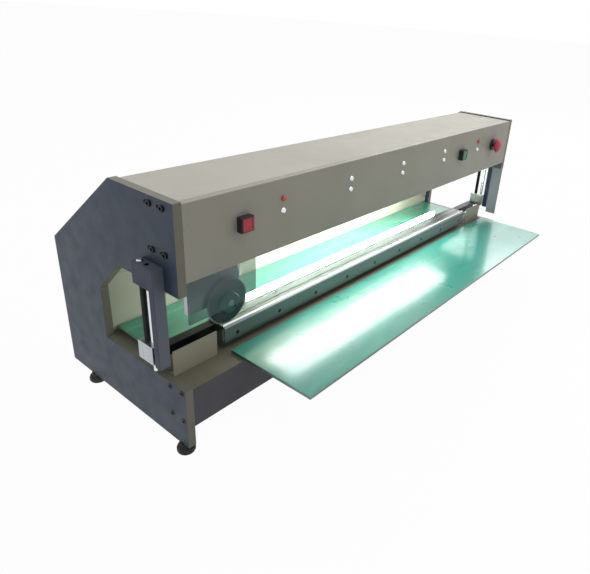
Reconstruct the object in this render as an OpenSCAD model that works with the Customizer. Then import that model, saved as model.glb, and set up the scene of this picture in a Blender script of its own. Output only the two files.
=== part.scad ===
// Board separator for scored circuit boards: a round blade on a belt-driven carriage
// rolls along a straight blade that stands between two receiving trays.
// Machine coordinates used by the modules: X is zero at mid length, Y is zero on the
// front face of the housing and grows to the rear, Z is zero at the end plates' feet edge.

/* [Housing] */
// Length over the outer faces of the end plates
machine_length = 1200; // [1000:10:1500]
// Height of the end plates
housing_height = 445; // [425:5:480]
// Depth of the end plates
housing_depth = 390; // [370:5:450]
// Thickness of the end plates
plate_t = 15; // [10:1:18]
// Depth of the flat roof, from the front face to the sloped back
roof_depth = 168; // [165:1:185]
// Height at which the sloped back meets the upright back
rear_wall_height = 279; // [240:1:290]
// Amount that the end plates stand proud of the covers
plate_proud = 3; // [2:0.5:4]
// Thickness of the sheet covers
sheet_t = 1.5; // [1:0.25:2]

/* [Throat] */
// Height of the top of the plates' lower arm
ledge_height = 120; // [110:1:122]
// Height of the underside of the plates' upper arm
arm_underside = 294; // [288:1:300]
// Depth of the throat from the front face
throat_depth = 238; // [225:1:240]
// Depth of the throat's upper corner cut
throat_cut_y = 72; // [50:1:80]
// Height of the throat's upper corner cut
throat_cut_z = 69; // [50:1:80]
// Height of the lower edge of the front panel
panel_underside = 315; // [310:1:320]

/* [Base] */
// Height of the underside of the base box
base_underside = 40; // [30:1:50]
// Height of the top of the base box
base_top = 118; // [108:1:118]
// Height of the rubber feet
foot_height = 20; // [14:1:30]
// Diameter of the rubber feet
foot_d = 40; // [30:1:44]
// Distance from the front face to the front feet
foot_front_y = 26; // [24:1:60]
// Distance from the front face to the rear feet
foot_rear_y = 330; // [290:5:345]

/* [Front table] */
// Reach of the table in front of the housing
table_reach = 160; // [120:5:200]
// Depth of table that lies over the base
table_overlap = 36; // [20:1:40]
// Length of the table
table_length = 1055; // [900:5:1060]
// Thickness of the table plate
table_t = 4; // [3:0.5:5]
// Thickness of the rubber mats
mat_t = 2; // [1.5:0.5:3]

/* [Straight blade] */
// Length of the straight blade and its beam
beam_length = 948; // [820:2:950]
// Distance from the front face to the cutting plane of both blades
cut_y = 56; // [55:0.5:58]
// Height of the straight blade's edge
edge_height = 169; // [167:0.5:172]
// Thickness of the straight blade
blade_t = 4; // [3:0.5:5]
// Depth of the beam behind the straight blade
beam_depth = 39; // [36:1:40]
// Height of the beam
beam_height = 42; // [36:1:42]
// Thickness of the strip that clamps the straight blade
clamp_t = 4; // [3:0.5:5]
// Number of screws in the clamp strip
clamp_screws_n = 9; // [5:1:13]

/* [Round blade] */
// Diameter of the round blade
disc_d = 90; // [84:1:94]
// Thickness of the round blade
disc_t = 2.4; // [1.6:0.2:3]
// Gap between the two blade edges
blade_gap = 1; // [0.8:0.1:1.4]
// Diameter of the hub in front of the round blade
hub_d = 42; // [34:1:50]
// Diameter of the spindle
spindle_d = 12; // [10:1:14]
// Distance of the spindle to the right of the carriage's middle
spindle_offset = 29; // [20:1:34]

/* [Carriage] */
// Travel of the carriage
carriage_travel = 900; // [700:10:905]
// Distance from the left end of the machine to the parked carriage's middle
carriage_park = 109; // [105:1:115]
// Width of the carriage plate and of the clear shield
carriage_w = 146; // [142:2:150]
// Thickness of the carriage plate
carriage_t = 10; // [8:1:11]
// Height of the lower edge of the clear shield
shield_underside = 220; // [205:1:235]
// Thickness of the clear shield
shield_t = 3; // [2:0.5:4]
// Width of the guide rail
rail_w = 15; // [12:1:18]
// Height of the guide rail's middle
rail_z = 372; // [370:1:374]
// Length of one bearing block
block_l = 61; // [56:1:64]
// Radius of the belt pulleys to the belt's inner face
pulley_r = 12.7; // [11:0.1:13.5]
// Width of the timing belt
belt_w = 10; // [8:1:11]
// Thickness of the timing belt
belt_t = 1.5; // [1:0.25:2]

/* [End adjusters] */
// Width of the adjuster bracket away from the plate
bracket_w = 20; // [16:1:24]
// Distance from the front face to the adjuster bracket
bracket_y = 34; // [28:1:38]
// Depth of the adjuster bracket
bracket_depth = 56; // [54:1:60]
// Height of the bracket's top
bracket_top = 335; // [325:1:345]
// Height of the bracket's foot arm
bracket_foot = 136; // [128:1:138]
// Diameter of the adjusting screw
screw_d = 10; // [8:1:12]
// Diameter of the guide rod beside the screw
rod_d = 8; // [6:1:10]
// Pitch of the adjusting screw
screw_pitch = 1.5; // [1:0.25:2]

/* [Controls] */
// Height of the row of pilot lamps
lamp_row_z = 407; // [400:1:412]
// Height of the row of push buttons
button_row_z = 385; // [378:1:390]
// Spacing of the studs along the panel
stud_spacing = 190; // [160:2:200]
// Width of a square push button
button_w = 22; // [18:1:26]
// Travel of a push button
button_travel = 3; // [2:0.5:4]
// Diameter of the stop button's mushroom head
stop_d = 40; // [32:1:44]
// Travel of the stop button
stop_travel = 5; // [3:0.5:6]

/* [Light] */
// Length of the light tube
light_length = 780; // [600:10:900]
// Diameter of the light tube
light_d = 17; // [14:1:20]

/* [Hidden] */
$fn = 64;
// Clearance of a turning or sliding pair on the radius
running = 0.05;
// Gap between pieces that pass each other
passing = 1;
half = machine_length / 2;
inside = half - plate_t;
front_y = -(housing_depth - table_reach) / 2;
skin_top = housing_height - plate_proud;
skin_rear = housing_depth - plate_proud;
web_y = 100;
web_t = 8;

// Places a module written in machine coordinates on its feet
module placed() {
    translate([0, front_y, foot_height]) children();
}

// Copies the children to both ends, the second copy mirrored
module both_ends() {
    children();
    mirror([1, 0, 0]) children();
}

// Extrudes a Y-Z outline from x = from to x = to
module along_x(from, to) {
    translate([from, 0, 0]) rotate([90, 0, 90]) linear_extrude(to - from) children();
}

// Extrudes an X-Z outline from y = from to y = to
module along_y(from, to) {
    translate([0, to, 0]) rotate([90, 0, 0]) linear_extrude(to - from) children();
}

// Round bar along Y
module bar_y(x, z, r, from, to) {
    translate([x, to, z]) rotate([90, 0, 0]) cylinder(r = r, h = to - from);
}

// Block given by its two opposite corners
module block(low, high) {
    translate(low) cube(high - low);
}

function unit(v) = v / norm(v);
function left_of(a, b) = let (d = unit(b - a)) [-d[1], d[0]];
function mitre(p, i, t) =
    i == 0 ? p[0] + t * left_of(p[0], p[1])
    : i == len(p) - 1 ? p[i] + t * left_of(p[i - 1], p[i])
    : let (m = left_of(p[i - 1], p[i]), n = left_of(p[i], p[i + 1])) p[i] + t * (m + n) / (1 + m * n);

// Section of a folded sheet: the points run along one face and t is the thickness to their left
module folded(points, t) {
    back = [for (i = [len(points) - 1:-1:0]) mitre(points, i, t)];
    polygon(concat(points, back));
}

// End plates -------------------------------------------------------------

slot_rows = [arm_underside + 64, arm_underside + 138];
slot_columns = [30, 62];
slot_l = 20;
slot_h = 8;
ledge_bolts = [[10, 54], [41, 55], [10, ledge_height - 8], [42, ledge_height - 9]];
bolt_r = 3.5;
throat_cut = [throat_depth - throat_cut_y, arm_underside - throat_cut_z];

module plate_outline() {
    difference() {
        polygon([
            [0, 0], [0, ledge_height], [throat_depth, ledge_height], [throat_depth, throat_cut[1]],
            [throat_cut[0], arm_underside], [0, arm_underside], [0, housing_height],
            [roof_depth, housing_height], [housing_depth, rear_wall_height], [housing_depth, 0]
        ]);
        for (z = slot_rows, y = slot_columns) translate([y, z]) slot_outline();
        for (p = ledge_bolts) translate(p) circle(r = bolt_r);
    }
}

module slot_outline() {
    run = slot_l - slot_h;
    translate([-run / 2, -slot_h / 2]) square([run, slot_h]);
    for (side = [-1, 1]) translate([side * run / 2, 0]) circle(d = slot_h);
}

module left_end_plate() {
    color([0.42, 0.46, 0.5]) placed() along_x(-half, -inside) plate_outline();
}

module right_end_plate() {
    color([0.42, 0.46, 0.5]) placed() along_x(inside, half) plate_outline();
}

// Socket-head bolts through the plates: slotted holes above, round holes below
bolt_head_r = 5.5;
bolt_head_h = 5;
flange_t = 8;

module bolt(y, z, length) {
    translate([-half - bolt_head_h, y, z]) rotate([0, 90, 0]) difference() {
        union() {
            cylinder(r = bolt_head_r, h = bolt_head_h);
            cylinder(r = bolt_r - running, h = bolt_head_h + length);
        }
        translate([0, 0, -1]) cylinder(r = 2.5, h = 4, $fn = 6);
    }
}

module plate_bolts() {
    color([0.1, 0.1, 0.11]) placed() both_ends() {
        for (z = slot_rows, y = slot_columns) bolt(y, z, plate_t + flange_t);
        for (p = ledge_bolts) bolt(p[0], p[1], plate_t + flange_t);
    }
}

// Base ---------------------------------------------------------------------

liner_y = throat_depth + 14;
base_t = 2;

module base_box() {
    color([0.32, 0.32, 0.33]) placed() difference() {
        union() {
            along_x(-inside, inside) folded([
                [22, base_underside], [0, base_underside], [0, base_top], [liner_y + sheet_t + 2, base_top]
            ], -base_t);
            both_ends() end_flange();
        }
        both_ends() for (p = ledge_bolts) translate([-inside - 1, p[0], p[1]])
            rotate([0, 90, 0]) cylinder(r = bolt_r, h = flange_t + 2);
    }
}

// Upright flange inside the base that takes the lower bolts
module end_flange() {
    block([-inside, base_t, base_underside + base_t], [-inside + flange_t, 60, base_top - base_t]);
}

bottom_t = 2;

module bottom_plate() {
    color([0.3, 0.3, 0.31]) placed()
        block([-inside, 22, base_underside], [inside, skin_rear - sheet_t, base_underside + bottom_t]);
}

module feet() {
    color([0.07, 0.07, 0.07]) placed() both_ends() for (y = [foot_front_y, foot_rear_y]) foot(y);
}

foot_x = half - plate_t - 14;

module foot(y) {
    translate([-foot_x, y, 0]) rotate_extrude() polygon([
        [0, 0], [foot_d / 2 - 3, 0], [foot_d / 2 - 3, -2], [foot_d / 2, -foot_height + 3],
        [foot_d / 2 - 3, -foot_height], [0, -foot_height]
    ]);
}

// Angle under each corner that carries a foot
module foot_brackets() {
    color([0.35, 0.36, 0.38]) placed() both_ends() for (y = [foot_front_y, foot_rear_y]) {
        block([-inside, y - 20, 0], [-inside + 40, y + 20, 4]);
        block([-inside, y - 20, 4], [-inside + 4, y + 20, base_underside - passing]);
    }
}

// Skins ----------------------------------------------------------------------

panel_lip = 14;
button_x = -half + 129;
green_x = half - 314;
stop_x = half - 120;
stud_x = [for (i = [-2:2]) i * stud_spacing];
barrel_r = 8;
stud_hole_r = 3;
stud_row_z = button_row_z;

module front_panel() {
    color([0.62, 0.61, 0.56]) placed() difference() {
        along_x(-inside, inside) folded([
            [panel_lip + 4, panel_underside], [0, panel_underside], [0, skin_top], [panel_lip, skin_top]
        ], -sheet_t);
        for (x = [button_x, green_x, stop_x]) bar_y(x, button_row_z, barrel_r, -1, sheet_t + 1);
        for (x = stud_x, z = [lamp_row_z, stud_row_z]) bar_y(x, z, stud_hole_r, -1, sheet_t + 1);
    }
}

seam = 0.4;

module top_cover() {
    color([0.8, 0.79, 0.74]) placed() along_x(-inside, inside) folded([
        [panel_lip + seam, skin_top - 12], [panel_lip + seam, skin_top], [roof_rear[0] - sheet_t - seam, roof_rear[1]]
    ], -sheet_t);
}

// The sloped back runs parallel to the plates' sloped edge, one proud width inside it
slope = unit([housing_depth - roof_depth, rear_wall_height - housing_height]);
slope_in = [slope[1], -slope[0]];
roof_rear = [roof_depth + slope_in[0] * plate_proud
    - (housing_height + slope_in[1] * plate_proud - skin_top) * slope[0] / slope[1], skin_top];
wall_top = [skin_rear, skin_top + (skin_rear - roof_rear[0]) * slope[1] / slope[0]];
rear_underside = 22;

module rear_cover() {
    color([0.72, 0.71, 0.66]) placed() difference() {
        along_x(-inside, inside) folded([
            roof_rear, wall_top, [skin_rear, rear_underside]
        ], -sheet_t);
        block([inlet_x - inlet_w / 2, skin_rear - 5, inlet_z - inlet_h / 2],
            [inlet_x + inlet_w / 2, skin_rear + 1, inlet_z + inlet_h / 2]);
    }
}

slot_rear_y = web_y + 14;
liner_roof = arm_underside + 8;

module inner_liner() {
    color([0.72, 0.72, 0.64]) placed() along_x(-inside, inside) folded([
        [slot_rear_y, liner_roof + 16], [slot_rear_y, liner_roof], [throat_cut[0] + 14, liner_roof],
        [liner_y, throat_cut[1] + 7], [liner_y, base_top]
    ], sheet_t);
}

// Sheet guards that close the throat in front of the lift arms
guard_y = 50;
guard_length = 92;

module end_guards() {
    color([0.66, 0.64, 0.56]) placed() both_ends() along_x(-inside, -inside + guard_length) folded([
        [guard_y + 14, base_top], [guard_y, base_top], [guard_y, edge_height - 1]
    ], -sheet_t);
}

// Strip that hangs beside the throat at the right end
guard_strip_t = 3;

module finger_guard() {
    color([0.55, 0.56, 0.58]) placed()
        block([half, 2, bracket_foot + 6], [half + guard_strip_t, 32, bracket_top + 5]);
}

// Tables -----------------------------------------------------------------------

table_right = inside - 2;
table_left = table_right - table_length;
table_rear = table_overlap;

module front_table() {
    color([0.45, 0.47, 0.48]) placed()
        block([table_left, -table_reach, base_top], [table_right, table_rear, base_top + table_t]);
}

module front_mat() {
    color([0.2, 0.55, 0.47]) placed() block(
        [table_left, -table_reach, base_top + table_t], [table_right, table_rear, base_top + table_t + mat_t]
    );
}

gusset_t = 4;
gusset_x = [for (i = [-1:1]) (table_left + table_right) / 2 + i * 300];
gusset_reach = table_reach - 34;
gusset_drop = base_top - base_underside - 8;

module table_brackets() {
    color([0.3, 0.31, 0.33]) placed() for (x = gusset_x) {
        along_x(x, x + gusset_t) polygon([
            [0, base_top - 3], [-gusset_reach, base_top - 3], [-gusset_reach, base_top - 14],
            [-10, base_top - gusset_drop], [0, base_top - gusset_drop]
        ]);
        block([x, -gusset_reach, base_top - 3], [x + 24, 0, base_top]);
        block([x + gusset_t, -3, base_top - gusset_drop], [x + 24, 0, base_top - 3]);
    }
}

tray_front = cut_y + 70;
tray_half = inside - 14;
tray_top = base_top + 7;

module rear_tray() {
    color([0.5, 0.5, 0.47]) placed() along_x(-tray_half, tray_half) folded([
        [tray_front, base_top], [tray_front, tray_top], [liner_y - 3, tray_top], [liner_y - 3, base_top]
    ], -sheet_t);
}

module rear_mat() {
    color([0.15, 0.5, 0.4]) placed()
        block([-tray_half, tray_front, tray_top], [tray_half, liner_y - 3, tray_top + mat_t]);
}

// Light behind the straight blade -----------------------------------------------

light_y = cut_y + 54;
light_z = edge_height - light_d / 2 + 2;
channel_w = light_d + 4;
channel_t = 1.5;
cap_l = 14;

module light_channel() {
    color([0.75, 0.76, 0.77]) placed() along_x(-light_length / 2, light_length / 2) difference() {
        translate([light_y - channel_w / 2, base_top]) square([channel_w, light_z - light_d / 2 + 3 - base_top]);
        translate([light_y - channel_w / 2 + channel_t, base_top + channel_t])
            square([channel_w - 2 * channel_t, light_z - light_d / 2 - base_top - 2 * channel_t]);
        translate([light_y, light_z]) circle(d = light_d);
    }
}

module light_tube() {
    color([0.95, 0.97, 1]) placed() along_x(-light_length / 2 + cap_l, light_length / 2 - cap_l)
        translate([light_y, light_z]) circle(d = light_d);
}

module light_caps() {
    color([0.85, 0.86, 0.86]) placed() both_ends() along_x(-light_length / 2, -light_length / 2 + cap_l)
        translate([light_y, light_z]) circle(d = light_d);
}

// Straight blade on its lifting beam ----------------------------------------------

blade_front = cut_y - blade_t / 2;
blade_rear = cut_y + blade_t / 2;
clamp_front = blade_front - clamp_t;
beam_top = edge_height - 3;
beam_bottom = beam_top - beam_height;
beam_rear = blade_rear + beam_depth;
beam_end = beam_length / 2;
blade_drop = 34;
clamp_drop = 36;
clamp_pitch = (beam_length - 60) / (clamp_screws_n - 1);
clamp_screw_r = 2.5;
clamp_head_r = 4.2;
clamp_head_h = 3;
clamp_z = beam_top - 22;
clamp_x = [for (i = [0:clamp_screws_n - 1]) -beam_length / 2 + 30 + i * clamp_pitch];

module lower_beam() {
    color([0.36, 0.38, 0.38]) placed() difference() {
        along_x(-beam_end, beam_end) difference() {
            translate([blade_rear, beam_bottom]) square([beam_depth, beam_height]);
            translate([cut_y + 14, beam_top - 1.5]) square([2, 2]);
            translate([beam_rear - 8, beam_top - 1.5]) square([2, 2]);
        }
        for (x = clamp_x) bar_y(x, clamp_z, clamp_screw_r, blade_rear - 1, blade_rear + 14);
    }
}

module straight_blade() {
    color([0.82, 0.84, 0.85]) placed() difference() {
        along_x(-beam_end, beam_end) polygon([
            [blade_front, edge_height - blade_drop], [blade_rear, edge_height - blade_drop],
            [blade_rear, beam_top - 0.2], [cut_y, edge_height], [blade_front, beam_top - 0.2]
        ]);
        for (x = clamp_x) bar_y(x, clamp_z, clamp_screw_r + 0.2, blade_front - 1, blade_rear + 1);
    }
}

module blade_clamp() {
    color([0.4, 0.42, 0.42]) placed() difference() {
        along_x(-beam_end, beam_end) polygon([
            [clamp_front, beam_top - clamp_drop], [blade_front, beam_top - clamp_drop],
            [blade_front, beam_top - 1], [clamp_front + 1.5, beam_top - 1], [clamp_front, beam_top - 3]
        ]);
        for (x = clamp_x) {
            bar_y(x, clamp_z, clamp_screw_r + 0.2, clamp_front - 1, blade_front + 1);
            bar_y(x, clamp_z, clamp_head_r + 0.2, clamp_front - 1, clamp_front + clamp_head_h);
        }
    }
}

module clamp_screws() {
    color([0.2, 0.2, 0.21]) placed() for (x = clamp_x) difference() {
        union() {
            bar_y(x, clamp_z, clamp_head_r, clamp_front + 0.3, clamp_front + clamp_head_h);
            bar_y(x, clamp_z, clamp_screw_r, clamp_front + clamp_head_h, blade_rear + 12);
        }
        translate([x, clamp_front + 2, clamp_z]) rotate([90, 0, 0]) cylinder(r = 1.6, h = 4, $fn = 6);
    }
}

stop_r = 2.5;

module board_stop() {
    color([0.5, 0.52, 0.53]) placed() translate([-half + 290, beam_rear - 12, beam_top])
        cylinder(r1 = stop_r, r2 = stop_r - 1, h = 12);
}

// End adjusters ----------------------------------------------------------------------

screw_y = bracket_y + 46;
rod_y = bracket_y + 28;
adjuster_x = half + bracket_w / 2;
bracket_t = 14;
bracket_head = 38;
nut_low = bracket_foot + bracket_t + 7;
nut_height = 34;
nut_front = rod_y - 9;
nut_rear = screw_y + 13;

module adjuster_brackets() {
    color([0.45, 0.48, 0.52]) placed() both_ends() difference() {
        along_x(-half - bracket_w, -half) polygon([
            [bracket_y, bracket_foot], [bracket_y, bracket_top], [bracket_y + bracket_depth, bracket_top],
            [bracket_y + bracket_depth, bracket_top - bracket_head], [bracket_y + bracket_t, bracket_top - bracket_head],
            [bracket_y + bracket_t, bracket_foot + bracket_t], [bracket_y + bracket_depth, bracket_foot + bracket_t],
            [bracket_y + bracket_depth, bracket_foot]
        ]);
        translate([-adjuster_x, screw_y, bracket_foot - 1])
            cylinder(d = screw_d + 2 * running, h = bracket_top - bracket_foot + 2);
        translate([-adjuster_x, rod_y, bracket_foot + 4]) cylinder(d = rod_d, h = bracket_top - bracket_foot);
    }
}

// Screw with a socket head on the bracket's top
module adjusting_screw() {
    head_h = 8;
    translate([-adjuster_x, screw_y, 0]) difference() {
        union() {
            translate([0, 0, bracket_foot]) cylinder(d = screw_d, h = bracket_top - bracket_foot);
            translate([0, 0, bracket_top + 0.2]) cylinder(d = screw_d + 4, h = head_h);
            translate([0, 0, bracket_top - 1]) cylinder(d = screw_d - 1, h = 3);
        }
        translate([0, 0, bracket_top + head_h - 3]) cylinder(r = 3, h = 5, $fn = 6);
    }
}

module left_adjusting_screw() {
    color([0.13, 0.13, 0.14]) placed() adjusting_screw();
}

module right_adjusting_screw() {
    color([0.13, 0.13, 0.14]) placed() mirror([1, 0, 0]) adjusting_screw();
}

module guide_rods() {
    color([0.8, 0.82, 0.84]) placed() both_ends()
        translate([-adjuster_x, rod_y, bracket_foot + 4]) cylinder(d = rod_d, h = bracket_top - bracket_foot - 4);
}

module nut_blocks() {
    color([0.62, 0.63, 0.62]) placed() both_ends() difference() {
        block([-half - bracket_w, nut_front, nut_low], [-half, nut_rear, nut_low + nut_height]);
        translate([-adjuster_x, screw_y, nut_low - 1]) cylinder(d = screw_d + 2 * running, h = nut_height + 2);
        translate([-adjuster_x, rod_y, nut_low - 1]) cylinder(d = rod_d + 2 * running, h = nut_height + 2);
    }
}

arm_low = beam_top - 24;

module lift_arms() {
    color([0.3, 0.32, 0.33]) placed() both_ends()
        block([-half, screw_y - 2, arm_low], [-beam_end, beam_rear, beam_top - 4]);
}

// Drive inside the upper housing ---------------------------------------------------------

web_low = 332;
belt_z = 411;
belt_y = 81;
motor_x = half - 60;
idler_x = -half + 42;

module rail_beam() {
    color([0.5, 0.5, 0.5]) placed() difference() {
        union() {
            block([-inside, web_y, web_low], [inside, web_y + web_t, skin_top - 4]);
            block([-inside, 60, skin_top - 10], [inside, web_y, skin_top - 4]);
            both_ends() block([-inside, 18, slot_rows[0] - 16], [-inside + flange_t, web_y, slot_rows[1] - 16]);
            both_ends() block([-inside, 18, slot_rows[1] - 16], [-inside + flange_t, 76, skin_top - 4]);
        }
        both_ends() for (z = slot_rows, y = slot_columns) translate([-inside - 1, y, z])
            rotate([0, 90, 0]) cylinder(r = bolt_r, h = flange_t + 2);
        bar_y(motor_x, belt_z, 8, web_y - 1, web_y + web_t + 1);
    }
}

rail_h = 15;
rail_front = web_y - rail_h;
carriage_x = -half + carriage_park;
rail_left = carriage_x - carriage_w / 2 - 8;
rail_right = carriage_x + carriage_travel + carriage_w / 2 + 8;

module guide_rail() {
    color([0.75, 0.76, 0.77]) placed() along_x(rail_left, rail_right) polygon([
        [web_y, rail_z - rail_w / 2], [web_y, rail_z + rail_w / 2], [rail_front + 7, rail_z + rail_w / 2],
        [rail_front + 5, rail_z + rail_w / 2 - 2], [rail_front + 3, rail_z + rail_w / 2],
        [rail_front, rail_z + rail_w / 2], [rail_front, rail_z - rail_w / 2],
        [rail_front + 3, rail_z - rail_w / 2], [rail_front + 5, rail_z - rail_w / 2 + 2],
        [rail_front + 7, rail_z - rail_w / 2]
    ]);
}

bearing_front = web_y - 28;
bearing_rear = web_y - 4.3;
bearing_h = 34;
bearing_gap = 18;

module bearing_blocks() {
    color([0.7, 0.71, 0.72]) placed() for (side = [-1, 1])
        along_x(carriage_x + side * (block_l + bearing_gap) / 2 - block_l / 2,
            carriage_x + side * (block_l + bearing_gap) / 2 + block_l / 2) difference() {
            translate([bearing_front, rail_z - bearing_h / 2]) square([bearing_rear - bearing_front, bearing_h]);
            translate([rail_front - running, rail_z - rail_w / 2 - running])
                square([20, rail_w + 2 * running]);
        }
}

disc_z = edge_height + blade_gap + disc_d / 2;
disc_x = carriage_x + spindle_offset;
plate_front = bearing_front - carriage_t;
bearing_r = 14;
housing_r = 22;
shoulder_r = 9;
leg_left = carriage_x - 51;
leg_right = carriage_x + 62;
plate_low = rail_z - 34;
plate_high = rail_z + 26;

module carriage_plate() {
    color([0.52, 0.55, 0.57]) placed() difference() {
        along_y(plate_front, bearing_front) difference() {
            union() {
                translate([carriage_x - carriage_w / 2, plate_low]) square([carriage_w, plate_high - plate_low]);
                polygon([
                    [leg_left, disc_z], [disc_x, disc_z], [leg_right, disc_z + 30], [leg_right, plate_low + 1],
                    [leg_left, plate_low + 1]
                ]);
                translate([disc_x, disc_z]) circle(r = housing_r + 4);
            }
            translate([disc_x, disc_z]) circle(r = shoulder_r + 1);
        }
    }
}

housing_l = 32;
bearing_w = 9;

module spindle_housing() {
    color([0.6, 0.62, 0.63]) placed() translate([disc_x, bearing_front, disc_z]) rotate([-90, 0, 0])
        rotate_extrude() polygon([
            [bearing_r, 0], [housing_r + 4, 0], [housing_r + 4, 5], [housing_r, 5], [housing_r, housing_l],
            [spindle_d / 2 + 2, housing_l], [spindle_d / 2 + 2, housing_l - 3], [bearing_r, housing_l - 3]
        ]);
}

module spindle_bearings() {
    color([0.78, 0.79, 0.8]) placed() for (y = [bearing_front, bearing_front + housing_l - 3 - bearing_w])
        translate([disc_x, y, disc_z]) rotate([-90, 0, 0]) rotate_extrude() polygon([
            [spindle_d / 2 + running, 0], [bearing_r, 0], [bearing_r, bearing_w], [spindle_d / 2 + running, bearing_w]
        ]);
}

disc_front = cut_y - disc_t / 2;
disc_rear = cut_y + disc_t / 2;
hub_front = disc_front - 9;

module spindle() {
    color([0.66, 0.67, 0.68]) placed() translate([disc_x, 0, disc_z]) rotate([-90, 0, 0]) rotate_extrude() polygon([
        [0, hub_front - 2], [spindle_d / 2 - 1, hub_front - 2], [spindle_d / 2, hub_front - 1],
        [spindle_d / 2, disc_rear], [16, disc_rear], [16, plate_front - passing],
        [shoulder_r, plate_front - passing], [shoulder_r, bearing_front - passing],
        [spindle_d / 2, bearing_front - passing], [spindle_d / 2, bearing_front + housing_l + 3],
        [0, bearing_front + housing_l + 3]
    ]);
}

bevel = 3;

module round_blade() {
    color([0.25, 0.27, 0.29]) placed() translate([disc_x, 0, disc_z]) rotate([-90, 0, 0]) rotate_extrude() polygon([
        [spindle_d / 2, disc_front], [disc_d / 2 - bevel, disc_front], [disc_d / 2, cut_y],
        [disc_d / 2 - bevel, disc_rear], [spindle_d / 2, disc_rear]
    ]);
}

module blade_hub() {
    color([0.75, 0.78, 0.79]) placed() translate([disc_x, 0, disc_z]) difference() {
        rotate([-90, 0, 0]) rotate_extrude() polygon([
            [spindle_d / 2, hub_front], [hub_d / 2 - 2.5, hub_front], [hub_d / 2, hub_front + 2.5],
            [hub_d / 2, disc_front], [spindle_d / 2, disc_front]
        ]);
        for (a = [45, 225]) rotate([0, a, 0]) translate([hub_d / 2 - 7, hub_front - 1, 0])
            rotate([-90, 0, 0]) cylinder(r = 2.2, h = 5);
    }
}

shield_rear = panel_lip + 17;
shield_front = shield_rear - shield_t;
shield_high = plate_low + 26;
post_x = carriage_w / 2 - 16;
post_z = plate_low + 14;

module clear_shield() {
    color([0.55, 0.65, 0.65, 0.5]) placed() difference() {
        block([carriage_x - carriage_w / 2, shield_front, shield_underside],
            [carriage_x + carriage_w / 2, shield_rear, shield_high]);
        for (side = [-1, 1]) bar_y(carriage_x + side * post_x, post_z, 2.7, shield_front - 1, shield_rear + 1);
    }
}

module shield_posts() {
    color([0.7, 0.7, 0.72]) placed() for (x = [carriage_x - post_x, carriage_x + post_x]) {
        bar_y(x, post_z, 5, shield_rear, plate_front);
        bar_y(x, post_z, 2.6, shield_front, shield_rear);
        bar_y(x, post_z, 4.5, shield_front - 2.5, shield_front);
    }
}

// Clip that ties the carriage to the lower run of the belt
belt_run_z = belt_z - pulley_r - running;
clip_w = 40;
clip_t = 4;

module belt_clip() {
    color([0.35, 0.36, 0.37]) placed() along_x(carriage_x - clip_w / 2, carriage_x + clip_w / 2) difference() {
        translate([bearing_front, belt_run_z - belt_t - clip_t])
            square([belt_y + belt_w + 2 - bearing_front, belt_t + 2 * clip_t]);
        translate([belt_y - 0.3, belt_run_z - belt_t - 0.3]) square([belt_w + 0.6, belt_t + 0.6]);
    }
}

module belt_outline(r) {
    translate([idler_x, belt_z - r]) square([motor_x - idler_x, 2 * r]);
    for (x = [idler_x, motor_x]) translate([x, belt_z]) circle(r = r);
}

module timing_belt() {
    color([0.1, 0.1, 0.1]) placed() along_y(belt_y, belt_y + belt_w) difference() {
        belt_outline(pulley_r + running + belt_t);
        belt_outline(pulley_r + running);
    }
}

pulley_teeth = 20;
flange_r = pulley_r + belt_t + 1;

module pulley_body(x) {
    difference() {
        bar_y(x, belt_z, pulley_r, belt_y - 0.5, belt_y + belt_w + 0.5);
        for (i = [0:pulley_teeth - 1]) translate([x, 0, belt_z]) rotate([0, i * 360 / pulley_teeth, 0])
            bar_y(pulley_r + 0.5, 0, 1.2, belt_y - 1, belt_y + belt_w + 1);
    }
    bar_y(x, belt_z, flange_r, belt_y - 2, belt_y - 0.5);
    bar_y(x, belt_z, flange_r, belt_y + belt_w + 0.5, belt_y + belt_w + 2);
}

motor_shaft_r = 3.2;

module drive_pulley() {
    color([0.72, 0.73, 0.74]) placed() {
        pulley_body(motor_x);
        bar_y(motor_x, belt_z, motor_shaft_r, belt_y + belt_w + 2, web_y + web_t + 14);
    }
}

module idler_pulley() {
    color([0.72, 0.73, 0.74]) placed() difference() {
        pulley_body(idler_x);
        bar_y(idler_x, belt_z, idler_r + running, belt_y - 3, belt_y + belt_w + 3);
    }
}

idler_r = 4;

module idler_axle() {
    color([0.4, 0.4, 0.42]) placed() {
        bar_y(idler_x, belt_z, idler_r, belt_y - 4, web_y);
        bar_y(idler_x, belt_z, idler_r + 3, belt_y - 7, belt_y - 3);
        bar_y(idler_x, belt_z, idler_r + 3, belt_y + belt_w + 3, web_y);
    }
}

motor_w = 56;
motor_l = 50;

module drive_motor() {
    motor_low = belt_z - motor_w / 2;
    color([0.12, 0.12, 0.13]) placed() difference() {
        block([motor_x - motor_w / 2, web_y + web_t, motor_low],
            [motor_x + motor_w / 2, web_y + web_t + motor_l, motor_low + motor_w]);
        bar_y(motor_x, belt_z, motor_shaft_r + running, web_y, web_y + web_t + 16);
        for (x = [-1, 1], z = [0, 1]) translate([motor_x + x * motor_w / 2, web_y + web_t + 6,
            motor_low + z * motor_w]) rotate([-90, 0, 0]) cylinder(r = 5, h = motor_l);
    }
}

// Controls -----------------------------------------------------------------------------

frame_d = 12;
button_stem = 5;
stem_depth = 18;

module button_frame(x) {
    w = button_w + 4;
    difference() {
        union() {
            block([x - w / 2, -frame_d, button_row_z - w / 2], [x + w / 2, 0, button_row_z + w / 2]);
            bar_y(x, button_row_z, barrel_r - 0.2, -0.5, stem_depth);
        }
        block([x - button_w / 2 - 0.3, -frame_d - 1, button_row_z - button_w / 2 - 0.3],
            [x + button_w / 2 + 0.3, -button_travel - 3, button_row_z + button_w / 2 + 0.3]);
        bar_y(x, button_row_z, button_stem + running, -frame_d, stem_depth - 3);
    }
}

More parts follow.
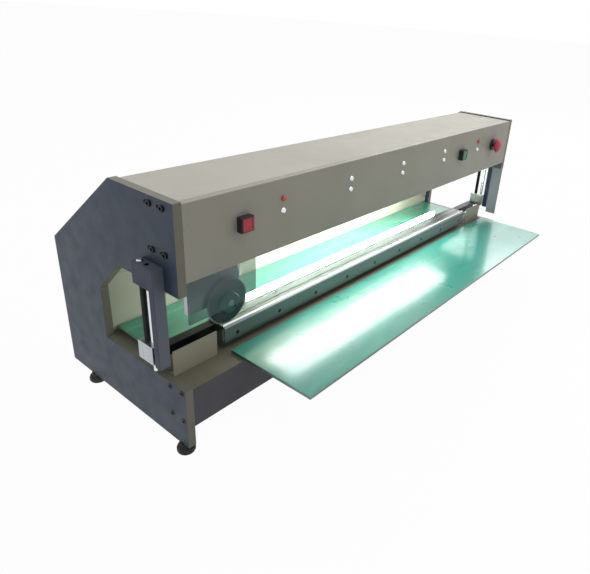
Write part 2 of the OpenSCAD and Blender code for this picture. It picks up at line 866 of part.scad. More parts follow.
module button_cap(x) {
    back = -2 * button_travel - 3.5;
    difference() {
        block([x - button_w / 2, -frame_d - 1, button_row_z - button_w / 2],
            [x + button_w / 2, back, button_row_z + button_w / 2]);
        block([x - button_w / 2 + 2, -frame_d - 2, button_row_z - button_w / 2 + 2],
            [x + button_w / 2 - 2, -frame_d - 0.4, button_row_z + button_w / 2 - 2]);
    }
    bar_y(x, button_row_z, button_stem, back, stem_depth - 4 - button_travel);
}

module red_button_frame() {
    color([0.08, 0.08, 0.09]) placed() button_frame(button_x);
}

module red_button() {
    color([0.75, 0.12, 0.14]) placed() button_cap(button_x);
}

module green_button_frame() {
    color([0.08, 0.08, 0.09]) placed() button_frame(green_x);
}

module green_button() {
    color([0.05, 0.42, 0.25]) placed() button_cap(green_x);
}

collar_h = 6;
stop_gap = 1;

module stop_button_base() {
    color([0.1, 0.1, 0.11]) placed() difference() {
        union() {
            bar_y(stop_x, button_row_z, stop_d / 2 - 4, -collar_h, 0);
            bar_y(stop_x, button_row_z, barrel_r - 0.2, -0.5, stem_depth + 10);
        }
        bar_y(stop_x, button_row_z, button_stem + running, -collar_h - 1, stem_depth + 7);
    }
}

module stop_button() {
    back = collar_h + stop_travel + stop_gap;
    color([0.72, 0.1, 0.16]) placed() {
        translate([stop_x, 0, button_row_z]) rotate([90, 0, 0]) rotate_extrude() polygon([
            [0, back], [stop_d / 2 - 7, back], [stop_d / 2 - 1, back + 3], [stop_d / 2, back + 6],
            [stop_d / 2 - 1, back + 9], [stop_d / 2 - 5, back + 12], [stop_d / 2 - 11, back + 14], [0, back + 15]
        ]);
        bar_y(stop_x, button_row_z, button_stem, -back, stem_depth + 6 - stop_travel);
    }
}

lamp_r = 5;

module pilot_lamps() {
    color([0.72, 0.25, 0.22]) placed() for (i = [0, 4])
        translate([stud_x[i], 0, lamp_row_z]) rotate([90, 0, 0]) rotate_extrude() polygon([
            [0, -16], [stud_hole_r - 0.1, -16], [stud_hole_r - 0.1, 0], [lamp_r, 0], [lamp_r, 3], [lamp_r - 1.5, 5],
            [0, 6]
        ]);
}

module panel_stud(x, z) {
    translate([x, 0, z]) rotate([90, 0, 0]) rotate_extrude() polygon([
        [0, -10], [stud_hole_r - 0.1, -10], [stud_hole_r - 0.1, 0], [5.5, 0], [5.5, 1], [4, 3.4], [0, 4.2]
    ]);
}

module panel_studs() {
    color([0.7, 0.71, 0.72]) placed() {
        for (x = stud_x) panel_stud(x, stud_row_z);
        for (i = [1:3]) panel_stud(stud_x[i], lamp_row_z);
    }
}

// Supply at the rear ----------------------------------------------------------------------

inlet_x = half - 120;
inlet_z = 84;
inlet_w = 28;
inlet_h = 48;
inlet_depth = 30;

module power_inlet() {
    color([0.08, 0.08, 0.08]) placed() difference() {
        union() {
            block([inlet_x - inlet_w / 2, skin_rear - inlet_depth, inlet_z - inlet_h / 2],
                [inlet_x + inlet_w / 2, skin_rear, inlet_z + inlet_h / 2]);
            block([inlet_x - inlet_w / 2 - 6, skin_rear, inlet_z - inlet_h / 2 - 4],
                [inlet_x + inlet_w / 2 + 6, skin_rear + 2, inlet_z + inlet_h / 2 + 4]);
        }
        block([inlet_x - 8, skin_rear - 16, inlet_z - 18], [inlet_x + 8, skin_rear + 3, inlet_z + 8]);
    }
    color([0.7, 0.7, 0.7]) placed() for (p = [[-4, -9], [4, -9], [0, -1]])
        block([inlet_x + p[0] - 1, skin_rear - 16, inlet_z + p[1] - 2], [inlet_x + p[0] + 1, skin_rear - 3, inlet_z + p[1] + 2]);
}

module power_supply() {
    color([0.62, 0.63, 0.64]) placed() block(
        [inlet_x - 240, liner_y + 20, base_underside + bottom_t],
        [inlet_x - 80, liner_y + 118, base_underside + bottom_t + 40]
    );
}

module control_board() {
    low = base_underside + bottom_t;
    color([0.1, 0.4, 0.25]) placed() {
        block([-260, liner_y + 20, low + 8], [-80, liner_y + 118, low + 9.6]);
        for (x = [-252, -88], y = [liner_y + 28, liner_y + 110]) translate([x, y, low]) cylinder(r = 3, h = 8);
    }
}

left_end_plate();
right_end_plate();
base_box();
bottom_plate();
front_panel();
top_cover();
rear_cover();
inner_liner();
rail_beam();
end_guards();
front_table();
front_mat();
table_brackets();
rear_tray();
rear_mat();
light_channel();
light_tube();
light_caps();
lower_beam();
straight_blade();
blade_clamp();
clamp_screws();
board_stop();
lift_arms();
nut_blocks();
adjuster_brackets();
left_adjusting_screw();
right_adjusting_screw();
guide_rods();
guide_rail();
bearing_blocks();
carriage_plate();
spindle_housing();
spindle_bearings();
spindle();
round_blade();
blade_hub();
clear_shield();
shield_posts();
belt_clip();
timing_belt();
drive_motor();
drive_pulley();
idler_pulley();
idler_axle();
red_button_frame();
red_button();
green_button_frame();
green_button();
stop_button_base();
stop_button();
pilot_lamps();
panel_studs();
plate_bolts();
finger_guard();
feet();
foot_brackets();
power_inlet();
power_supply();
control_board();
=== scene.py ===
from math import pi, radians, tau

import bpy
import numpy as np
from mathutils import Matrix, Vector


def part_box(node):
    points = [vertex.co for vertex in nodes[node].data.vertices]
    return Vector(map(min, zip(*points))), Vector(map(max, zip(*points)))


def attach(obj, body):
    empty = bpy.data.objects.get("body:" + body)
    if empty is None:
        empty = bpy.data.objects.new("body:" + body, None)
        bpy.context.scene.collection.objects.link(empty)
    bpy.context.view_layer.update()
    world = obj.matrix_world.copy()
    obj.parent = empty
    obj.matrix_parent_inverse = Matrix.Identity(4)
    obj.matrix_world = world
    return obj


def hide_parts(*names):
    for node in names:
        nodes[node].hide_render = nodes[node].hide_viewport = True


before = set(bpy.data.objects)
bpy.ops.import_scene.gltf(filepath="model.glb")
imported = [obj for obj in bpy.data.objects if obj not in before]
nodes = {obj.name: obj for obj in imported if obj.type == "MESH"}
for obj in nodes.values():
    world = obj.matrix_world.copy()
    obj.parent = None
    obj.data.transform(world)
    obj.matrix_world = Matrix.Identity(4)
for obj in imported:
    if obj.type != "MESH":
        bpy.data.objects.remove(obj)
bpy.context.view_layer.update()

scene = bpy.context.scene


# ---- View -------------------------------------------------------------------------------
# A 33 mm lens at arm's length past the left front corner of the machine, at eye height
# above the bench, turned a little about its own axis.
view_place = (-1.0163, -0.7339, 0.7226)
view_turn, view_dip, view_roll = radians(53.47), radians(24.15), radians(4.24)

lens = bpy.data.cameras.new("view")
lens.lens = 32.78
lens.shift_x, lens.shift_y = -0.0902, -0.0534
lens.clip_end = 50
camera = bpy.data.objects.new("view", lens)
camera.matrix_world = (
    Matrix.Translation(view_place)
    @ Matrix.Rotation(-view_turn, 4, "Z")
    @ Matrix.Rotation(pi / 2 - view_dip, 4, "X")
    @ Matrix.Rotation(view_roll, 4, "Z")
)
scene.collection.objects.link(camera)
scene.camera = camera
scene.view_settings.view_transform = "Standard"


# ---- Studio -----------------------------------------------------------------------------
# A white bench top and a white surround, with a broad lamp overhead, three at the sides and
# a small one under the housing that lights the throat. The bench keeps the soft shadow.
def linear(red, green, blue):
    """Screen values from 0 to 255 as linear light: v / 12.92 when dark, else the 2.4 power curve."""
    v = np.array([red, green, blue]) / 255
    curve = ((v + 0.055) / 1.055) ** 2.4
    return (*np.where(v <= 0.04045, v / 12.92, curve).tolist(), 1.0)


def link(tree, source, target):
    """Joins an output to an input in a node tree."""
    tree.links.new(source, target)


def seen_ray(tree):
    """A value of 1 for rays from the eye, from glossy surfaces and through clear ones."""
    path = tree.nodes.new("ShaderNodeLightPath")
    first = tree.nodes.new("ShaderNodeMath")
    first.operation = "MAXIMUM"
    link(tree, path.outputs["Is Camera Ray"], first.inputs[0])
    link(tree, path.outputs["Is Glossy Ray"], first.inputs[1])
    last = tree.nodes.new("ShaderNodeMath")
    last.operation = "MAXIMUM"
    link(tree, first.outputs[0], last.inputs[0])
    link(tree, path.outputs["Is Transmission Ray"], last.inputs[1])
    return last.outputs[0]


ambient = 0.27
surround = bpy.data.worlds.new("surround")
surround.use_nodes = True
scene.world = surround
tree = surround.node_tree
background = tree.nodes["Background"]
background.inputs["Color"].default_value = (1, 1, 1, 1)
level = tree.nodes.new("ShaderNodeMapRange")
level.inputs["To Min"].default_value = ambient
level.inputs["To Max"].default_value = 1.0
link(tree, seen_ray(tree), level.inputs["Value"])
link(tree, level.outputs["Result"], background.inputs["Strength"])


def lamp(name, place, aim, width, height, power, tint=(1, 1, 1)):
    """A flat lamp at place that faces the point aim."""
    light = bpy.data.lights.new(name, "AREA")
    light.shape = "RECTANGLE"
    light.size, light.size_y = width, height
    light.energy = power
    light.color = tint
    piece = bpy.data.objects.new(name, light)
    facing = Matrix.Translation(place).to_translation() - Matrix.Translation(aim).to_translation()
    piece.matrix_world = Matrix.Translation(place) @ facing.to_track_quat("Z", "Y").to_matrix().to_4x4()
    piece.visible_camera = False
    scene.collection.objects.link(piece)


lamp("overhead", (0.3, -0.2, 2.6), (0, 0, 0.2), 2.6, 2.6, 24)
lamp("right_rear", (3.5, 1.3, 2.8), (-0.2, -0.38, 0.13), 2.2, 2.2, 70)
lamp("throat", (0.05, -0.03, 0.298), (0.05, -0.035, 0), 0.7, 0.1, 1.9, (0.95, 1, 0.99))
lamp("right_front", (2.4, -2.2, 1.6), (0, 0, 0.3), 1.8, 1.8, 16)
lamp("left_rear", (-2.2, 1.6, 0.9), (-0.5, 0, 0.3), 1.6, 1.6, 5, (0.72, 0.8, 1.0))

bench_white = bpy.data.materials.new("bench_white")
bench_white.use_nodes = True
tree = bench_white.node_tree
tree.nodes.remove(tree.nodes["Principled BSDF"])
matt = tree.nodes.new("ShaderNodeBsdfDiffuse")
matt.inputs["Color"].default_value = (0.86, 0.86, 0.86, 1)
glow = tree.nodes.new("ShaderNodeEmission")
share = tree.nodes.new("ShaderNodeMath")
share.operation = "MULTIPLY"
share.inputs[1].default_value = 0.97
link(tree, seen_ray(tree), share.inputs[0])
blend = tree.nodes.new("ShaderNodeMixShader")
link(tree, share.outputs[0], blend.inputs["Fac"])
link(tree, matt.outputs[0], blend.inputs[1])
link(tree, glow.outputs[0], blend.inputs[2])
link(tree, blend.outputs[0], tree.nodes["Material Output"].inputs["Surface"])


def mesh_piece(name, verts, faces, material, smooth=True):
    """An object at the origin from an array of points in metres and groups of faces. A group is an
    array with one row per face."""
    mesh = bpy.data.meshes.new(name)
    mesh.from_pydata(np.asarray(verts).tolist(), [], [face for group in faces for face in group.tolist()])
    mesh.polygons.foreach_set("use_smooth", [smooth] * len(mesh.polygons))
    mesh.materials.append(material)
    mesh.update()
    piece = bpy.data.objects.new(name, mesh)
    scene.collection.objects.link(piece)
    return piece


bench_half = 40.0
corners = bench_half * np.array([(-1, -1, 0), (1, -1, 0), (1, 1, 0), (-1, 1, 0)])
mesh_piece("bench", corners, [np.array([[0, 1, 2, 3]])], bench_white, smooth=False)


# ---- End plates -------------------------------------------------------------------------
# Two 15 mm steel plates, sawn to outline and powder coated in warm grey, the tone of the milled
# edges. Their broad faces take a darker blue-grey, which is painted shade.
def finish(name, rough=0.5, metal=0.0, edge=0.0005):
    """A node material on Object coordinates: a dict of its tree, shader, place and rounded edge."""
    material = bpy.data.materials.new(name)
    material.use_nodes = True
    tree = material.node_tree
    shader = tree.nodes["Principled BSDF"]
    shader.inputs["Metallic"].default_value = metal
    shader.inputs["Roughness"].default_value = rough
    place = tree.nodes.new("ShaderNodeTexCoord")
    bevel = tree.nodes.new("ShaderNodeBevel")
    bevel.samples = 4
    bevel.inputs["Radius"].default_value = edge
    return {"material": material, "tree": tree, "shader": shader, "place": place, "edge": bevel}


def noise(kit, scale, detail=3.0, stretch=(1, 1, 1)):
    """Noise from 0 to 1 on Object coordinates, finer with scale and drawn out where stretch is under 1."""
    tree = kit["tree"]
    mapping = tree.nodes.new("ShaderNodeMapping")
    mapping.inputs["Scale"].default_value = stretch
    link(tree, kit["place"].outputs["Object"], mapping.inputs["Vector"])
    texture = tree.nodes.new("ShaderNodeTexNoise")
    texture.inputs["Scale"].default_value = scale
    texture.inputs["Detail"].default_value = detail
    link(tree, mapping.outputs["Vector"], texture.inputs["Vector"])
    return texture.outputs["Fac"]


def spread(kit, value, low, high, span=(0.3, 0.7)):
    """Maps a value that runs over span onto low to high."""
    ramp = kit["tree"].nodes.new("ShaderNodeMapRange")
    ramp.inputs["From Min"].default_value, ramp.inputs["From Max"].default_value = span
    ramp.inputs["To Min"].default_value, ramp.inputs["To Max"].default_value = low, high
    link(kit["tree"], value, ramp.inputs["Value"])
    return ramp.outputs["Result"]


def mixed(kit, share, first, second):
    """The colour between first and second; each is a colour or another node's output."""
    mix = kit["tree"].nodes.new("ShaderNodeMix")
    mix.data_type = "RGBA"
    link(kit["tree"], share, mix.inputs["Factor"])
    for socket, colour in ((mix.inputs[6], first), (mix.inputs[7], second)):
        if isinstance(colour, tuple):
            socket.default_value = colour
        else:
            link(kit["tree"], colour, socket)
    return mix.outputs[2]


def relief(kit, height, depth, strength=1.0):
    """Raises the surface by height times depth in metres, over the rounded edges."""
    bump = kit["tree"].nodes.new("ShaderNodeBump")
    bump.inputs["Strength"].default_value = strength
    bump.inputs["Distance"].default_value = depth
    link(kit["tree"], height, bump.inputs["Height"])
    link(kit["tree"], kit["edge"].outputs["Normal"], bump.inputs["Normal"])
    link(kit["tree"], bump.outputs["Normal"], kit["shader"].inputs["Normal"])


def colour(kit, value):
    """Feeds a colour into the shader."""
    link(kit["tree"], value, kit["shader"].inputs["Base Color"])


def roughness(kit, value):
    """Feeds a roughness into the shader."""
    link(kit["tree"], value, kit["shader"].inputs["Roughness"])


def facing(kit, axis):
    """How far the surface faces along one object axis, from 0 to 1, whichever way round."""
    split = kit["tree"].nodes.new("ShaderNodeSeparateXYZ")
    link(kit["tree"], kit["place"].outputs["Normal"], split.inputs[0])
    size = kit["tree"].nodes.new("ShaderNodeMath")
    size.operation = "ABSOLUTE"
    link(kit["tree"], split.outputs[axis], size.inputs[0])
    return size.outputs[0]


def shade(tone, factor):
    """The tone times a factor, at full opacity."""
    return tuple(c * factor for c in tone[:3]) + (1.0,)


def coat(name, tone, second=None, axis="X", rough=0.42):
    """Powder coat: a tone that clouds by a few per cent, with an orange-peel skin. With a second
    tone, the faces that don't look along the axis take that tone. On the plates and the adjuster brackets,
    the first tone on the faces that look along the axis is painted shade."""
    kit = finish(name, rough)
    kit["shader"].inputs["Specular IOR Level"].default_value = 0.25
    clouds = noise(kit, 5.0)
    body = mixed(kit, spread(kit, clouds, 0, 1), shade(tone, 0.93), shade(tone, 1.05))
    if second:
        side = spread(kit, facing(kit, axis), 0, 1, (0.6, 0.8))
        other = mixed(kit, spread(kit, clouds, 0, 1), shade(second, 0.94), shade(second, 1.04))
        body = mixed(kit, side, other, body)
    specks = spread(kit, noise(kit, 420.0, 2.0), 0, 0.5, (0.62, 0.8))
    colour(kit, mixed(kit, specks, body, shade(tone, 0.7)))
    roughness(kit, spread(kit, noise(kit, 30.0), rough - 0.07, rough + 0.08))
    relief(kit, noise(kit, 700.0, 2.0), 0.0001, 0.35)
    return kit["material"]


def dress(material, *names):
    """Gives carried-over nodes this material in every slot."""
    for name in names:
        for place in nodes[name].material_slots:
            place.material = material


plate_coat_with_painted_shade = coat("plate_coat_with_painted_shade", linear(54, 67, 84), linear(124, 122, 108))
dress(plate_coat_with_painted_shade, "left_end_plate", "right_end_plate")


# ---- Plate bolts and feet ---------------------------------------------------------------
# Low-head socket screws sit at the front end of each slot and in each round hole of the
# plates. A turned rubber foot is screwed into the bottom edge of each plate corner.
def swept(radius, height, place, turn):
    """Closed surface of rings: point = (r cos a, r sin a, h) for each row of radii, turned by a
    rotation matrix and set at place. One point on the axis closes the first and last rows."""
    rows, steps = radius.shape
    angle = np.arange(steps) * tau / steps
    level = np.repeat(height[:, None], steps, 1)
    rings = np.stack([radius * np.cos(angle), radius * np.sin(angle), level], -1)
    ends = np.array([[0, 0, height[0]], [0, 0, height[-1]]])
    verts = np.concatenate([rings.reshape(-1, 3), ends]) @ np.array(turn).T + np.array(place)
    i, j = np.meshgrid(np.arange(rows - 1), np.arange(steps), indexing="ij")
    k = (j + 1) % steps
    lower, upper = i * steps, (i + 1) * steps
    quads = np.stack([lower + j, lower + k, upper + k, upper + j], -1).reshape(-1, 4)
    j, k = np.arange(steps), (np.arange(steps) + 1) % steps
    first, last, top = rows * steps, rows * steps + 1, (rows - 1) * steps
    low_cap = np.stack([np.full(steps, first), k, j], -1)
    high_cap = np.stack([np.full(steps, last), top + j, top + k], -1)
    return verts, [quads, low_cap, high_cap]


def turned(profile, place, turn=np.eye(3), steps=32):
    """Lathe work: the profile's (radius, height) pairs, in millimetres, swept round the axis."""
    profile = np.array(profile, float) / 1000
    return swept(np.repeat(profile[:, :1], steps, 1), profile[:, 1], place, turn)


def together(parts):
    """One set of points and face groups from several, each group moved past the points before."""
    start = np.cumsum([0] + [len(verts) for verts, _ in parts])
    faces = [group + first for first, (_, groups) in zip(start, parts) for group in groups]
    return np.concatenate([verts for verts, _ in parts]), faces


def crisp(piece, angle=0.6):
    """Shades curved runs smooth and keeps edges sharper than the angle."""
    piece.data.set_sharp_from_angle(angle=angle)
    return piece


def facing_out(side):
    """Turns an axis that points up so that it points out of the end plate on that side."""
    return np.array([[0, 0, side], [1, 0, 0], [0, side, 0]])


plate_low, plate_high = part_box("left_end_plate")
outer_x, plate_t = -plate_low.x, plate_high.x - plate_low.x
front_y, foot_z = plate_low.y, plate_low.z
slot_rows, slot_columns, slot_shift, slot_proud = (0.358, 0.432), (0.030, 0.062), 0.0035, 2.6
hole_places, hole_proud = ((0.010, 0.054), (0.041, 0.055), (0.010, 0.112), (0.042, 0.111)), 0.8
head_r, rim_r, socket_r, socket_depth, head_steps = 5.4, 4.9, 2.7, 2.2, 24
bolt_places = [(y - slot_shift, z, slot_proud) for z in slot_rows for y in slot_columns]
bolt_places += [(y, z, hole_proud) for y, z in hole_places]
black_oxide = finish("black_oxide", 0.42, 1.0, 0.0003)
colour(black_oxide, mixed(black_oxide, noise(black_oxide, 60.0), linear(34, 34, 36), linear(60, 60, 63)))
roughness(black_oxide, spread(black_oxide, noise(black_oxide, 120.0), 0.34, 0.55))
relief(black_oxide, noise(black_oxide, 600.0), 0.00005, 0.4)
heads = []
for side in (-1, 1):
    for y, z, proud in bolt_places:
        head = [(head_r, -0.4), (head_r, proud - 0.5), (rim_r, proud), (socket_r, proud)]
        head.append((socket_r - 0.1, proud - socket_depth))
        place = (side * outer_x, front_y + y, foot_z + z)
        heads.append(turned(head, place, facing_out(side), head_steps))
bolts = crisp(mesh_piece("plate_screws", *together(heads), black_oxide["material"]))
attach(bolts, "machine")
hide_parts("plate_bolts")

foot_rubber = finish("foot_rubber", 0.75)
colour(foot_rubber, mixed(foot_rubber, noise(foot_rubber, 40.0), linear(20, 20, 21), linear(38, 38, 39)))
roughness(foot_rubber, spread(foot_rubber, noise(foot_rubber, 90.0), 0.6, 0.85))
relief(foot_rubber, noise(foot_rubber, 500.0), 0.0002, 0.5)
foot_profile = [(11, 0), (15, 1.2), (16.4, 4), (16.4, 9), (15, 12.4), (12, 13.6), (11, 16), (10.4, 20)]
foot_x, foot_setbacks = outer_x - plate_t / 2, (0.019, 0.312)
places = [(side * foot_x, front_y + setback, 0) for side in (-1, 1) for setback in foot_setbacks]
pads = [turned(foot_profile, place) for place in places]
feet = crisp(mesh_piece("rubber_feet", *together(pads), foot_rubber["material"]))
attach(feet, "machine")
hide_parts("feet", "foot_brackets")


# ---- Covers -----------------------------------------------------------------------------
# Folded 1.5 mm sheet: the front panel, the roof, the sloped and upright back and the
# beige liner of the throat, all powder coated.
panel_coat = coat("panel_coat", linear(166, 163, 150))
roof_coat = coat("roof_coat", linear(198, 195, 183), rough=0.66)
liner_coat = coat("liner_coat", linear(190, 190, 170))
guard_coat = coat("guard_coat", linear(166, 164, 144))
strip_coat = coat("strip_coat", linear(140, 143, 150))
dress(panel_coat, "front_panel")
dress(roof_coat, "top_cover", "rear_cover")
dress(liner_coat, "inner_liner", "rear_tray")
dress(guard_coat, "end_guards")
dress(strip_coat, "finger_guard")


# ---- Base -------------------------------------------------------------------------------
# A folded box between the plates. Its upright front is slate grey and its top warm grey.
base_coat = coat("base_coat", linear(78, 78, 84), linear(124, 120, 104), "Y")
under_coat = coat("under_coat", linear(80, 80, 84))
dress(base_coat, "base_box")
dress(under_coat, "bottom_plate", "table_brackets", "rail_beam", "power_supply")


# ---- Table mats -------------------------------------------------------------------------
# Two-layer anti-static rubber glued on the tables: a glossy green face, scuffed by boards
# and slightly wavy from the glue.
def mat_rubber(name, deep, bright):
    """Green rubber with cloudy wear, long scuffs and a low wave."""
    kit = finish(name, 0.3)
    kit["shader"].inputs["Coat Weight"].default_value = 1.0
    kit["shader"].inputs["Coat Roughness"].default_value = 0.16
    kit["shader"].inputs["Coat IOR"].default_value = 1.6
    wear = spread(kit, noise(kit, 5.0, 4.0, (0.5, 1, 1)), 0, 1, (0.25, 0.75))
    body = mixed(kit, wear, deep, bright)
    scuffs = spread(kit, noise(kit, 60.0, 8.0, (0.12, 1, 1)), 0, 0.35, (0.58, 0.75))
    colour(kit, mixed(kit, scuffs, body, shade(bright, 1.5)))
    roughness(kit, spread(kit, noise(kit, 16.0, 5.0), 0.24, 0.44))
    relief(kit, noise(kit, 9.0, 2.0), 0.003, 0.16)
    return kit["material"]


front_green = mat_rubber("front_green", linear(14, 122, 104), linear(44, 160, 142))
rear_green = mat_rubber("rear_green", linear(28, 132, 108), linear(80, 176, 152))
dress(front_green, "front_mat")
dress(rear_green, "rear_mat")


# ---- Bare and blackened metal -----------------------------------------------------------
# The table plate, beam, rail, carriage and their small parts: drawn or milled metal with
# the lines of the tool running along the machine.
def metal(name, tone, rough, stretch=(0.03, 1, 1), grain=300.0, dirt=0.25, metallic=1.0):
    """Tooled metal: fine lines along the unstretched axis, with faint stains."""
    kit = finish(name, rough, metallic, 0.0004)
    lines = noise(kit, grain, 4.0, stretch)
    stain = spread(kit, noise(kit, 12.0, 5.0), 0, dirt, (0.4, 0.75))
    body = mixed(kit, lines, shade(tone, 0.85), shade(tone, 1.1))
    colour(kit, mixed(kit, stain, body, shade(tone, 0.55)))
    roughness(kit, spread(kit, lines, rough - 0.08, rough + 0.1))
    relief(kit, lines, 0.00008, 0.4)
    return kit["material"]


table_steel = metal("table_steel", linear(120, 124, 126), 0.45)
beam_steel = metal("beam_steel", linear(118, 124, 122), 0.36)
blade_steel = metal("blade_steel", linear(214, 218, 220), 0.16)
rail_steel = metal("rail_steel", linear(190, 192, 195), 0.22)
milled_aluminium = metal("milled_aluminium", linear(176, 182, 186), 0.34, (1, 1, 0.04))
turned_steel = metal("turned_steel", linear(200, 205, 207), 0.2, (1, 0.05, 1))
black_steel = metal("black_steel", linear(52, 52, 54), 0.4, (1, 1, 1), 90.0)
chrome = metal("chrome", linear(225, 228, 230), 0.08, (1, 1, 0.1), 200.0, 0.1)
dress(table_steel, "front_table")
dress(beam_steel, "lower_beam", "blade_clamp")
dress(blade_steel, "straight_blade")
dress(rail_steel, "guide_rail", "bearing_blocks", "spindle_bearings")
dress(milled_aluminium, "carriage_plate", "spindle_housing", "nut_blocks", "shield_posts", "light_channel")
# The blade hub is polished steel; its teal tone is a painted reflection of the green mats.
dress(metal("hub_steel_painted_reflection", linear(66, 96, 92), 0.34, (1, 1, 1)), "blade_hub")
dress(turned_steel, "spindle", "drive_pulley", "idler_pulley", "board_stop")
dress(black_steel, "lift_arms", "clamp_screws", "belt_clip", "drive_motor", "idler_axle")
dress(chrome, "guide_rods", "panel_studs")


# ---- Round blade ------------------------------------------------------------------------
# A hardened disc, dark on its faces and paler on the ground bevel at its rim. Fine turning
# rings run round the centre.
disc = finish("disc_steel", 0.3, 0.35, 0.0002)
low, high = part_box("round_blade")
hub_x, hub_z = (low.x + high.x) / 2, (low.z + high.z) / 2
disc_radius = (high.x - low.x) / 2
bevel_span, ring_rate = (disc_radius - 0.0032, disc_radius - 0.0028), 9000
spot = disc["tree"].nodes.new("ShaderNodeMapping")
spot.inputs["Location"].default_value = (-hub_x, 0, -hub_z)
spot.inputs["Scale"].default_value = (1, 0, 1)
link(disc["tree"], disc["place"].outputs["Object"], spot.inputs["Vector"])
reach = disc["tree"].nodes.new("ShaderNodeVectorMath")
reach.operation = "LENGTH"
link(disc["tree"], spot.outputs["Vector"], reach.inputs[0])
rim = spread(disc, reach.outputs["Value"], 0, 1, bevel_span)
rings = disc["tree"].nodes.new("ShaderNodeMath")
rings.operation = "SINE"
fine = disc["tree"].nodes.new("ShaderNodeMath")
fine.operation = "MULTIPLY"
fine.inputs[1].default_value = ring_rate
link(disc["tree"], reach.outputs["Value"], fine.inputs[0])
link(disc["tree"], fine.outputs[0], rings.inputs[0])
tones = mixed(disc, spread(disc, noise(disc, 30.0), 0, 1), linear(34, 38, 42), linear(58, 62, 66))
colour(disc, mixed(disc, rim, tones, linear(128, 134, 136)))
roughness(disc, spread(disc, rings.outputs[0], 0.26, 0.34, (-1, 1)))
relief(disc, rings.outputs[0], 0.00002, 0.4)
dress(disc["material"], "round_blade")


# ---- Adjuster brackets ------------------------------------------------------------------
# Milled steel hooks shaped like an upside-down L, painted grey, with painted shade in dark navy on
# their broad faces. Each is screwed to the front edge of an end plate and holds the adjusting screw.
def outline_block(points, low_x, high_x):
    """A prism along X over a Y-Z outline that runs anticlockwise seen from +X."""
    ring = np.array(points, float)
    count = len(ring)
    near = np.column_stack([np.full(count, low_x), ring])
    far = np.column_stack([np.full(count, high_x), ring])
    j, k = np.arange(count), (np.arange(count) + 1) % count
    sides = np.stack([j, k, k + count, j + count], -1)
    return np.concatenate([near, far]), [sides, j[None, ::-1], j[None] + count]


adjuster_coat_with_painted_shade = coat("adjuster_coat_with_painted_shade", linear(34, 42, 72), linear(106, 112, 122), rough=0.4)
arm_low, arm_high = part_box("adjuster_brackets")
bar_y, bar_t, head_h, bar_foot = arm_low.y, 0.014, 0.038, 0.02
hook = [
    (bar_y, arm_low.z + bar_foot),
    (bar_y + bar_t, arm_low.z + bar_foot),
    (bar_y + bar_t, arm_high.z - head_h),
    (arm_high.y, arm_high.z - head_h),
    (arm_high.y, arm_high.z),
    (bar_y, arm_high.z),
]
hooks = [outline_block(hook, x, x + arm_high.x - outer_x) for x in (arm_low.x, outer_x)]
brackets = mesh_piece("adjuster_hooks", *together(hooks), adjuster_coat_with_painted_shade, smooth=False)
soften = brackets.modifiers.new("rounded", "BEVEL")
soften.width, soften.segments = 0.0008, 2
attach(brackets, "machine")
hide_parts("adjuster_brackets")

# The adjusting screws carry a real 1.5 mm thread and a bright button head on top.
thread_pitch, thread_crest, thread_depth = 0.0015, 0.005, 0.0009
thread_rows, thread_steps, thread_start, cap_lift = 820, 20, 0.004, 0.0002
bright_zinc = metal("bright_zinc", linear(205, 207, 205), 0.25, (1, 1, 1), 120.0)
for side in ("left", "right"):
    node, body = side + "_adjusting_screw", side + "_screw_body"
    low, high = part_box(node)
    centre = ((low.x + high.x) / 2, (low.y + high.y) / 2, 0)
    height = np.linspace(low.z + bar_foot - thread_start, arm_high.z, thread_rows)
    turn_share = np.arange(thread_steps) / thread_steps
    # Groove depth follows half a cosine wave along the height, shifted by the turn's share.
    wave = 0.5 - 0.5 * np.cos(tau * (height[:, None] / thread_pitch - turn_share))
    stem = swept(thread_crest - thread_depth * wave, height, centre, np.eye(3))
    screw = mesh_piece(node.replace("adjusting", "threaded"), *stem, black_oxide["material"])
    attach(screw, body)
    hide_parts(node)
    top = 1000 * (arm_high.z + cap_lift)
    cap = [(0.5, top), (5.2, top), (5.6, top + 1), (4.6, top + 3), (2.6, top + 3.6), (2.5, top + 1.6)]
    button = crisp(mesh_piece(side + "_screw_cap", *turned(cap, centre), bright_zinc))
    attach(button, body)


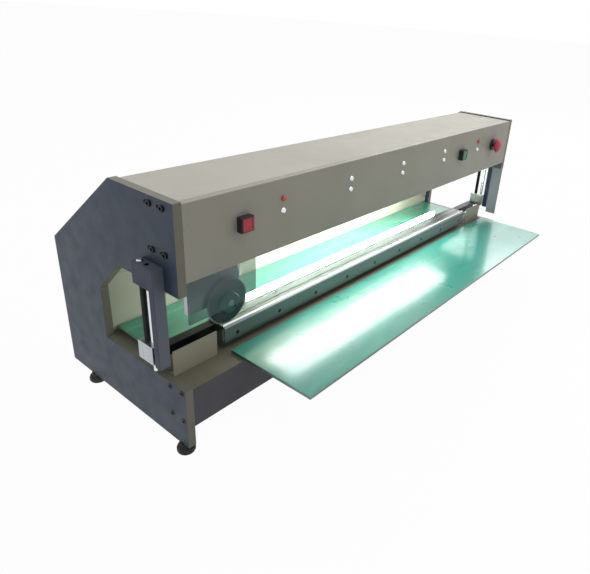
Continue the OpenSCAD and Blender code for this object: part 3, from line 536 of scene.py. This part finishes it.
# ---- Clear shield -----------------------------------------------------------------------
# A 3 mm acrylic sheet in front of the round blade. It is smoked to a grey green, and the
# blade and the carriage show through it.
smoked = finish("smoked_acrylic", 0.06, 0.0, 0.0006)
colour(smoked, mixed(smoked, noise(smoked, 8.0), linear(84, 108, 108), linear(96, 118, 118)))
roughness(smoked, spread(smoked, noise(smoked, 40.0), 0.04, 0.12))
relief(smoked, noise(smoked, 6.0, 1.0), 0.0005, 0.02)
smoked["shader"].inputs["Alpha"].default_value = 0.52
dress(smoked["material"], "clear_shield")


# ---- Light ------------------------------------------------------------------------------
# A tube that floods the throat, with white plastic caps.
tube_glow = finish("tube_glow", 0.3)
glass_tone = mixed(tube_glow, noise(tube_glow, 3.0), linear(245, 252, 250), linear(250, 255, 255))
colour(tube_glow, glass_tone)
roughness(tube_glow, spread(tube_glow, noise(tube_glow, 20.0), 0.25, 0.35))
link(tube_glow["tree"], glass_tone, tube_glow["shader"].inputs["Emission Color"])
tube_glow["shader"].inputs["Emission Strength"].default_value = 48
dress(tube_glow["material"], "light_tube")


# ---- Plastics ---------------------------------------------------------------------------
# Moulded caps, frames, buttons and the inlet, with a fine mould texture.
def moulded(name, tone, rough, grain=260.0, depth=0.00012):
    """Moulded plastic: an even tone with a fine grain and faint flow marks."""
    kit = finish(name, rough, 0.0, 0.0007)
    colour(kit, mixed(kit, noise(kit, 25.0), shade(tone, 0.9), shade(tone, 1.08)))
    roughness(kit, spread(kit, noise(kit, 60.0), rough - 0.06, rough + 0.08))
    relief(kit, noise(kit, grain, 2.0), depth, 0.3)
    return kit["material"]


dress(moulded("cap_plastic", linear(205, 206, 206), 0.45), "light_caps")
frame_plastic = moulded("frame_plastic", linear(34, 34, 36), 0.4)
dress(frame_plastic, "red_button_frame", "green_button_frame", "stop_button_base", "power_inlet")
dress(moulded("red_plastic", linear(188, 30, 48), 0.28), "red_button")
dress(moulded("stop_plastic", linear(190, 42, 72), 0.3), "stop_button")
dress(moulded("green_plastic", linear(14, 118, 72), 0.28), "green_button")
dress(moulded("lamp_plastic", linear(205, 96, 86), 0.22), "pilot_lamps")
dress(moulded("belt_rubber", linear(30, 30, 31), 0.7), "timing_belt")
dress(moulded("board_mask", linear(18, 92, 58), 0.35), "control_board")
